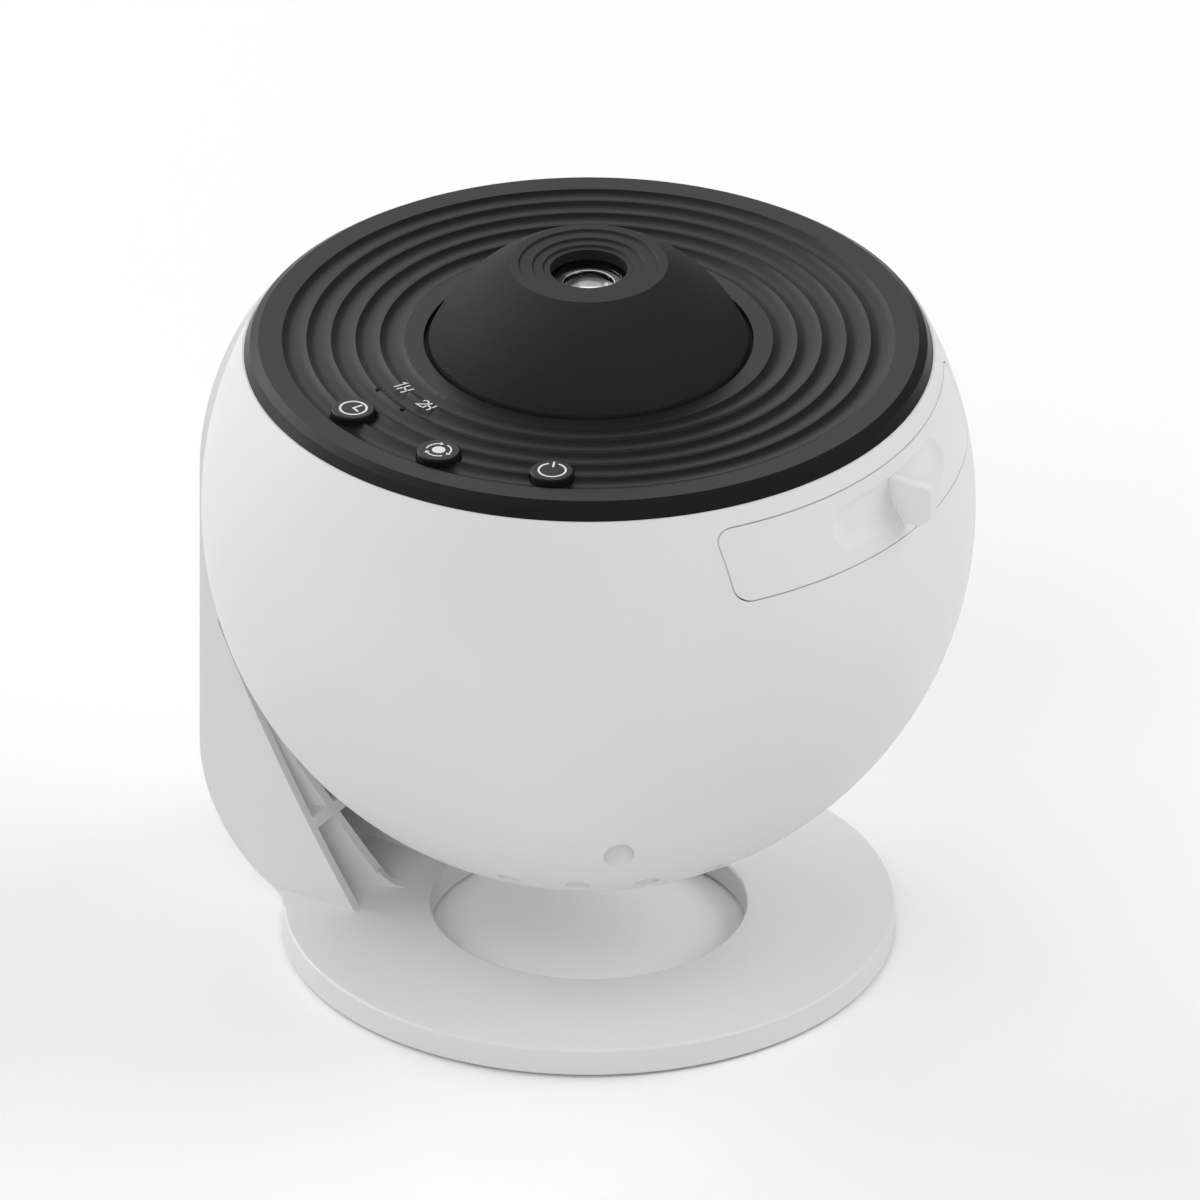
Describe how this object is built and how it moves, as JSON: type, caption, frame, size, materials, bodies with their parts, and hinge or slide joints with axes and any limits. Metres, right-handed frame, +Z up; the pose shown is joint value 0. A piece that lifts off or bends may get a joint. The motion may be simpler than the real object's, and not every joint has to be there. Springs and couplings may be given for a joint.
{
  "type": "planetarium projector",
  "caption": "Ball-shaped star projector tilting on a side arm with a ring base, with a ringed top plate, turning focus dome, touch keys and a slide-out film drawer.",
  "frame": {"origin": "centre of the base ring on the surface it stands on", "axes": "+Z up; -Y is the front, where the middle key is; the film drawer opens along +X and the stand arm is on the -X side"},
  "size_m": [0.1509, 0.15, 0.1476],
  "materials": {
    "white_shell": "satin white",
    "black_plate": "fine matte black",
    "grained_dome": "grained matte black",
    "foot_rubber": "matte",
    "frame_plastic": "moulded grey",
    "barrel_black": "black anodised",
    "lens_glass": "polished",
    "star_film": "clear film printed dark with stars",
    "steel": "zinc plated",
    "sink_aluminium": "plain",
    "motor_metal": "plain",
    "board": "solder mask green",
    "black_part": "matte",
    "inlet_brass": "plain",
    "led_resin": "clear resin",
    "light_pipe": "smoked clear"
  },
  "bodies": {
    "stand": {"stand_frame": "white_shell", "foot_ring": "foot_rubber", "pivot_bolt": "steel", "pivot_cap": "white_shell", "thrust_washer": "frame_plastic", "pressure_washer": "steel", "spring_washer": "steel", "pivot_nut": "steel"},
    "head": {"ball_shell": "white_shell", "board_screws": "steel", "button_board": "board", "button_board_screws": "steel", "button_lead": "black_part", "case_screws": "steel", "chassis": "frame_plastic", "condenser_lower": "lens_glass", "condenser_ring": "barrel_black", "condenser_spacer": "barrel_black", "condenser_upper": "lens_glass", "gear_motor": "motor_metal", "heat_sink": "sink_aluminium", "indicator_leds": "led_resin", "inlet_pin": "inlet_brass", "lamp_housing": "sink_aluminium", "lamp_screws": "steel", "led_board": "board", "led_emitter": "led_resin", "led_lead": "black_part", "lens_mount": "frame_plastic", "lens_mount_screws": "steel", "light_pipes": "light_pipe", "main_board": "board", "motor_lead": "black_part", "motor_screws": "steel", "pivot_bush": "frame_plastic", "power_inlet": "black_part", "sink_screws": "steel", "tact_switches": "black_part", "top_plate": "black_plate"},
    "focus": {"focus_dome": "grained_dome"},
    "lens": {"lens_barrel": "barrel_black", "front_lens": "lens_glass", "rear_lens": "lens_glass", "lens_spacer": "barrel_black", "lens_retainer": "barrel_black", "cam_pins": "steel"},
    "drawer": {"drawer_tray": "frame_plastic", "drawer_front": "white_shell", "drawer_screws": "steel"},
    "disc": {"disc_gear": "frame_plastic", "disc_frame": "frame_plastic", "star_film": "star_film", "film_ring": "frame_plastic"},
    "pinion": {"drive_pinion": "frame_plastic", "motor_shaft": "steel"},
    "power_button": {"power_key": "black_plate"},
    "rotate_button": {"rotate_key": "black_plate"},
    "timer_button": {"timer_key": "black_plate"}
  },
  "joints": [
    {"name": "head_tilt", "type": "hinge", "parent": "stand", "child": "head", "pos_m": [0, 0, 0.0943], "axis": [1, 0, 0], "continuous": true},
    {"name": "drawer_slide", "type": "slide", "parent": "head", "child": "drawer", "axis": [1, 0, 0], "range_m": [0, 0.09]},
    {"name": "disc_spin", "type": "hinge", "parent": "drawer", "child": "disc", "pos_m": [0, 0, 0.0943], "axis": [0, 0, 1], "continuous": true},
    {"name": "pinion_spin", "type": "hinge", "parent": "head", "child": "pinion", "pos_m": [-0.0352, 0, 0.0943], "axis": [0, 0, 1], "continuous": true},
    {"name": "focus_turn", "type": "hinge", "parent": "head", "child": "focus", "pos_m": [0, 0, 0.0943], "axis": [0, 0, 1], "range_deg": [-60, 60]},
    {"name": "lens_slide", "type": "slide", "parent": "head", "child": "lens", "axis": [0, 0, 1], "range_m": [-0.00205, 0.00205]},
    {"name": "power_press", "type": "slide", "parent": "head", "child": "power_button", "axis": [0, 0, -1], "range_m": [0, 0.0007], "stiffness_N_per_m": 2500, "springref_m": -0.0004},
    {"name": "rotate_press", "type": "slide", "parent": "head", "child": "rotate_button", "axis": [0, 0, -1], "range_m": [0, 0.0007], "stiffness_N_per_m": 2500, "springref_m": -0.0004},
    {"name": "timer_press", "type": "slide", "parent": "head", "child": "timer_button", "axis": [0, 0, -1], "range_m": [0, 0.0007], "stiffness_N_per_m": 2500, "springref_m": -0.0004}
  ],
  "couplings": [
    {"joint": "pinion_spin", "follows": "disc_spin", "ratio": -3.8889},
    {"joint": "lens_slide", "follows": "focus_turn", "m_per_rad": -0.0019099}
  ]
}
